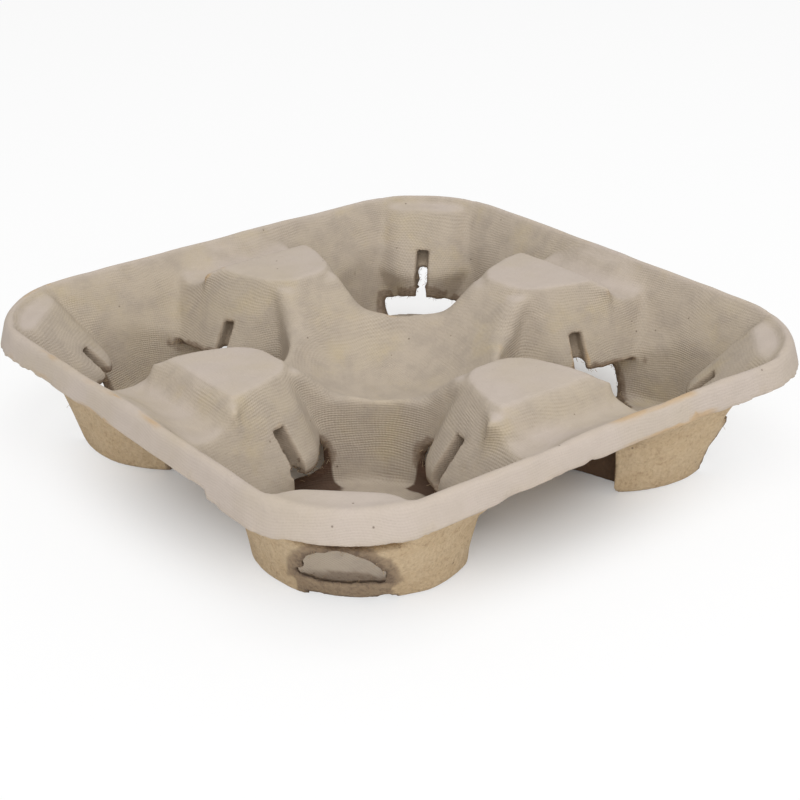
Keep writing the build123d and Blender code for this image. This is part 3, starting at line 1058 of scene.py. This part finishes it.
def fibre_tree(material):
    """Thin bent fibres on the torn edges of the mesh that comes in, as a mesh of their own."""
    tree = bpy.data.node_groups.new("torn_fibres", "GeometryNodeTree")
    tree.interface.new_socket("Sheet", in_out="INPUT", socket_type="NodeSocketGeometry")
    for name, kind, value in (("Density", "NodeSocketFloat", 0.0), ("Length", "NodeSocketFloat", 0.0),
                              ("Radius", "NodeSocketFloat", 0.0), ("Seed", "NodeSocketInt", 0)):
        tree.interface.new_socket(name, in_out="INPUT", socket_type=kind).default_value = value
    tree.interface.new_socket("Fibres", in_out="OUTPUT", socket_type="NodeSocketGeometry")
    n = FieldNodes(tree)
    given = n.add("NodeGroupInput").outputs
    height = n.parts(n.add("GeometryNodeInputPosition").outputs[0])[2]
    torn = n.times(n.ramp(n.named("cut"), 0.5, 0.9), n.math("GREATER_THAN", height, FIBRE_FLOOR))
    scatter = n.add("GeometryNodeDistributePointsOnFaces", distribute_method="RANDOM")
    n.put(scatter.inputs["Mesh"], given["Sheet"])
    n.put(scatter.inputs["Density"], n.times(torn, given["Density"]))
    n.put(scatter.inputs["Seed"], given["Seed"])
    turn = n.add("FunctionNodeRotateRotation", rotation_space="LOCAL")
    n.put(turn.inputs[0], scatter.outputs["Rotation"])
    n.put(turn.inputs[1], n.random("FLOAT_VECTOR", (-FIBRE_TILT, -FIBRE_TILT, -pi),
                                   (FIBRE_TILT, FIBRE_TILT, pi), given["Seed"]))
    place = n.add("GeometryNodeInstanceOnPoints")
    n.put(place.inputs["Points"], scatter.outputs["Points"])
    n.put(place.inputs["Instance"], fibre_thread(n, given["Length"], given["Radius"]))
    n.put(place.inputs["Rotation"], turn.outputs[0])
    n.put(place.inputs["Scale"], n.random("FLOAT", FIBRE_SHORTEST, 1.0, n.plus(given["Seed"], 1.0)))
    real = n.add("GeometryNodeRealizeInstances")
    n.put(real.inputs[0], place.outputs[0])
    paint = n.add("GeometryNodeSetMaterial")
    n.put(paint.inputs["Geometry"], real.outputs[0])
    n.put(paint.inputs["Material"], material)
    n.put(n.add("NodeGroupOutput").inputs["Fibres"], paint.outputs[0])
    return tree


class CARRIER_OT_fibres(bpy.types.Operator):
    """Scatter loose fibres along the torn edges of the sheet"""
    bl_idname = "carrier.fibres"
    bl_label = "Torn Fibres"

    def execute(self, context):
        source = bpy.data.objects.get("pulp_sheet")
        if source is None:
            raise RuntimeError("The sheet has to be built before its fibres")
        shape = context.scene.carrier_shape
        piece = add_object("torn_fibres", source.data.copy())
        piece.data.materials.clear()
        tree = fibre_tree(fibre_material(context.scene.carrier_finish))
        modifier = piece.modifiers.new("fibres", "NODES")
        modifier.node_group = tree
        sockets = {item.name: item.identifier for item in tree.interface.items_tree
                   if item.item_type == "SOCKET" and item.in_out == "INPUT"}
        for name, value in (("Density", shape.fibre_density), ("Length", shape.fibre_length),
                            ("Radius", shape.fibre_radius), ("Seed", FIBRE_SEED)):
            modifier[sockets[name]] = value
        bake(piece)
        if not piece.data.polygons:
            raise RuntimeError("No fibre was placed")
        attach(piece, "root")
        return {"FINISHED"}


# Stage

FLOOR_HALF = 6.0
FLOOR_HEIGHT = -0.05 * MM
WORLD_STRENGTH = 0.6
# Name, place, size in metres and power in watts
LAMPS = (("key", (-0.1, -0.3, 1.35), 1.0, 7.2),
         ("front", (-0.75, -0.95, 0.55), 1.0, 6.0),
         ("fill", (0.9, -0.9, 0.9), 1.2, 2.2))
LAMP_TARGET = (0.0, 0.0, 0.02)


class CARRIER_OT_stage(bpy.types.Operator):
    """Add the floor, the soft studio light and the camera"""
    bl_idname = "carrier.stage"
    bl_label = "Stage"

    def execute(self, context):
        scene = context.scene
        add_floor(scene.carrier_finish)
        scene.world = studio_world()
        for lamp in LAMPS:
            add_lamp(scene, *lamp)
        add_camera(scene)
        scene.view_settings.view_transform = "Standard"
        return {"FINISHED"}


def add_floor(finish):
    mesh = bpy.data.meshes.new("floor")
    corners = [(x * FLOOR_HALF, y * FLOOR_HALF, FLOOR_HEIGHT)
               for x, y in ((-1, -1), (1, -1), (1, 1), (-1, 1))]
    mesh.from_pydata(corners, [], [(0, 1, 2, 3)])
    floor = add_object("floor", mesh)
    mesh.materials.append(backdrop_material(finish))


def studio_world():
    world = bpy.data.worlds.new("studio")
    world.use_nodes = True
    n = Nodes(world.node_tree)
    back = n.add("ShaderNodeBackground")
    n.put(back.inputs["Color"], WHITE)
    n.put(back.inputs["Strength"], n.plus(WORLD_STRENGTH, n.times(n.seen(), 1.0 - WORLD_STRENGTH)))
    n.end("ShaderNodeOutputWorld", back.outputs[0])
    return world


def add_lamp(scene, name, place, size, energy):
    data = bpy.data.lights.new(name, "AREA")
    data.shape = "DISK"
    data.size = size
    data.energy = energy
    lamp = bpy.data.objects.new(name, data)
    lamp.location = place
    lamp.rotation_euler = (Vector(LAMP_TARGET) - Vector(place)).to_track_quat("-Z", "Y").to_euler()
    scene.collection.objects.link(lamp)


def add_camera(scene):
    azimuth, elevation, roll = radians(-38.33), radians(26.7), radians(-0.45)
    distance = 569.5 * MM
    focal_px, centre_px = 1628.7, (392.9, 434.2)
    frame_px = 800.0
    data = bpy.data.cameras.new("camera")
    data.sensor_width = 36.0
    data.lens = focal_px / frame_px * data.sensor_width
    data.shift_x = 0.5 - centre_px[0] / frame_px
    data.shift_y = centre_px[1] / frame_px - 0.5
    data.clip_start = 0.01
    back = Vector((sin(azimuth) * cos(elevation), -cos(azimuth) * cos(elevation), sin(elevation)))
    level = Vector((cos(azimuth), sin(azimuth), 0.0))
    up = back.cross(level)
    right = level * cos(roll) + up * sin(roll)
    upward = up * cos(roll) - level * sin(roll)
    camera = bpy.data.objects.new("camera", data)
    turn = Matrix((right, upward, back)).transposed()
    camera.matrix_world = Matrix.Translation(back * distance) @ turn.to_4x4()
    scene.collection.objects.link(camera)
    scene.camera = camera


class CARRIER_PT_panel(bpy.types.Panel):
    """Lists the carrier's pieces and its stage"""
    bl_idname = "CARRIER_PT_panel"
    bl_label = "Cup Carrier"
    bl_space_type = "VIEW_3D"
    bl_region_type = "UI"
    bl_category = "Cup Carrier"

    def draw(self, context):
        for operator in (CARRIER_OT_sheet, CARRIER_OT_fibres, CARRIER_OT_stage):
            self.layout.operator(operator.bl_idname)
        scene = context.scene
        for group, kind in ((scene.carrier_shape, CarrierShape), (scene.carrier_finish, CarrierFinish)):
            for name in kind.__annotations__:
                self.layout.prop(group, name)


CLASSES = (CarrierShape, CarrierFinish, CARRIER_OT_sheet, CARRIER_OT_fibres,
           CARRIER_OT_stage, CARRIER_PT_panel)


def register():
    for each in CLASSES:
        bpy.utils.register_class(each)
    bpy.types.Scene.carrier_shape = bpy.props.PointerProperty(type=CarrierShape)
    bpy.types.Scene.carrier_finish = bpy.props.PointerProperty(type=CarrierFinish)


def unregister():
    del bpy.types.Scene.carrier_finish
    del bpy.types.Scene.carrier_shape
    for each in reversed(CLASSES):
        bpy.utils.unregister_class(each)


def main():
    register()
    bpy.ops.carrier.sheet()
    bpy.ops.carrier.fibres()
    bpy.ops.carrier.stage()


if __name__ == "__main__":
    main()
